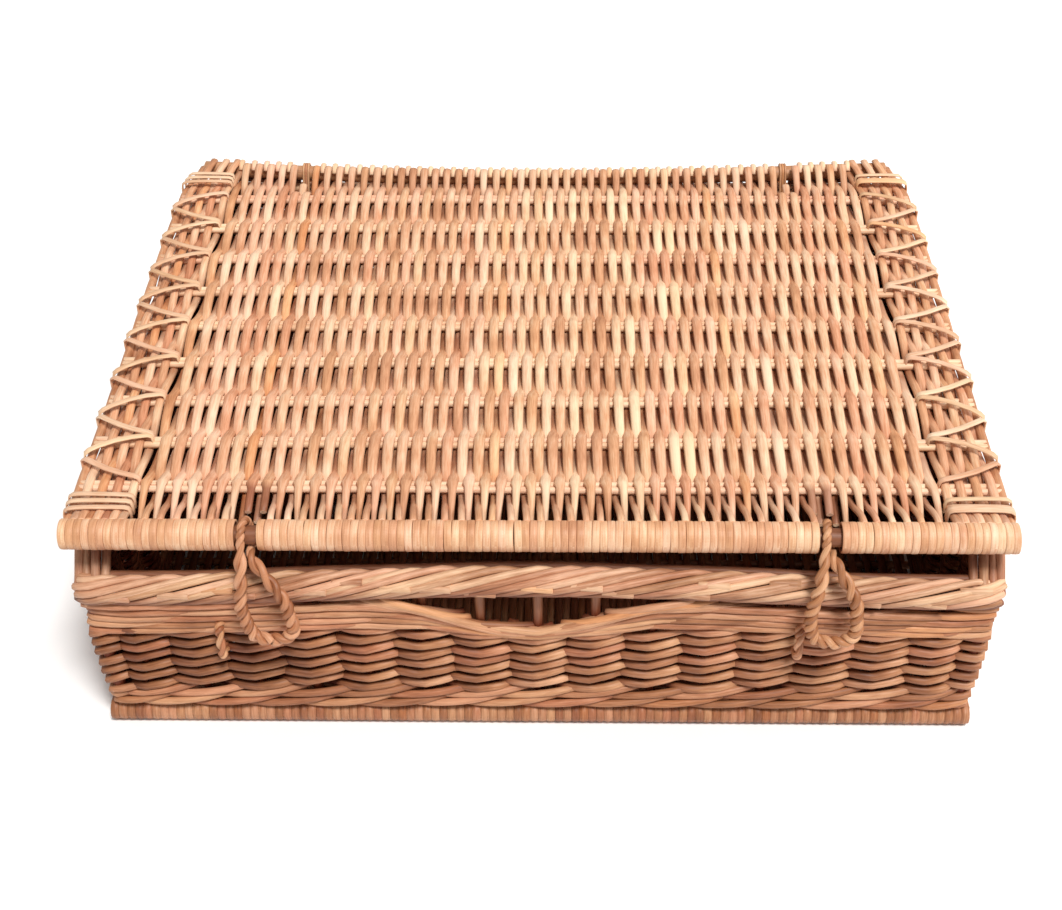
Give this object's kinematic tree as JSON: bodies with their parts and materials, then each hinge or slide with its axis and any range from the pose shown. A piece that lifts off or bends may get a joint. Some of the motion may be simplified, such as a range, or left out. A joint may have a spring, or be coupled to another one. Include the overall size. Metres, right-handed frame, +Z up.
{
  "type": "lidded wicker box",
  "caption": "Rectangular woven willow box with a flat hinged lid, a hand slot in the front wall and twisted fastening loops that hang from the lid over small staples.",
  "frame": {"origin": "under the middle of the whole box, on the surface it stands on", "axes": "+X along the front to the right as seen from the front, +Y from the front to the hinged back, +Z up"},
  "size_m": [0.46, 0.3854, 0.1406],
  "materials": {
    "weave_willow": "satin, steamed tan rods",
    "stick_willow": "satin, thicker darker rods",
    "border_willow": "satin, pale rolled rods",
    "skein_willow": "smooth split skein, pale",
    "loop_willow": "satin, orange twisted rods"
  },
  "bodies": {
    "basket": {"base_front_edge_stick": "stick_willow", "base_back_edge_stick": "stick_willow", "base_stick_1": "stick_willow", "base_stick_2": "stick_willow", "base_stick_3": "stick_willow", "base_stick_4": "stick_willow", "base_stick_5": "stick_willow", "base_weave": "weave_willow", "front_stakes_and_border": "border_willow", "right_stakes_and_border": "border_willow", "back_stakes_and_border": "border_willow", "left_stakes_and_border": "border_willow", "corner_post_front_left": "stick_willow", "corner_post_front_right": "stick_willow", "corner_post_back_left": "stick_willow", "corner_post_back_right": "stick_willow", "wall_weave": "weave_willow", "hinge_ring_left": "skein_willow", "staple_left": "loop_willow", "hinge_ring_right": "skein_willow", "staple_right": "loop_willow"},
    "lid": {"lid_front_edge_stick": "stick_willow", "lid_back_edge_stick": "stick_willow", "lid_stick_1": "stick_willow", "lid_stick_2": "stick_willow", "lid_stick_3": "stick_willow", "lid_stick_4": "stick_willow", "lid_stick_5": "stick_willow", "lid_stick_6": "stick_willow", "lid_stick_7": "stick_willow", "lid_stick_8": "stick_willow", "lid_stick_9": "stick_willow", "lid_weave": "weave_willow", "lid_lashing_left": "skein_willow", "lid_corner_binding_front_left": "skein_willow", "lid_corner_binding_back_left": "skein_willow", "lid_lashing_right": "skein_willow", "lid_corner_binding_front_right": "skein_willow", "lid_corner_binding_back_right": "skein_willow"},
    "loop_left": {"fastening_loop_left": "loop_willow"},
    "loop_right": {"fastening_loop_right": "loop_willow"}
  },
  "joints": [
    {"name": "lid_hinge", "type": "hinge", "parent": "basket", "child": "lid", "pos_m": [0, 0.17938, 0.13122], "axis": [-1, 0, 0], "range_deg": [0, 110]},
    {"name": "loop_left_swing", "type": "hinge", "parent": "lid", "child": "loop_left", "pos_m": [-0.1389, -0.17278, 0.13122], "axis": [-1, 0, 0], "range_deg": [0, 150]},
    {"name": "loop_right_swing", "type": "hinge", "parent": "lid", "child": "loop_right", "pos_m": [0.1389, -0.17278, 0.13122], "axis": [-1, 0, 0], "range_deg": [0, 150]}
  ]
}
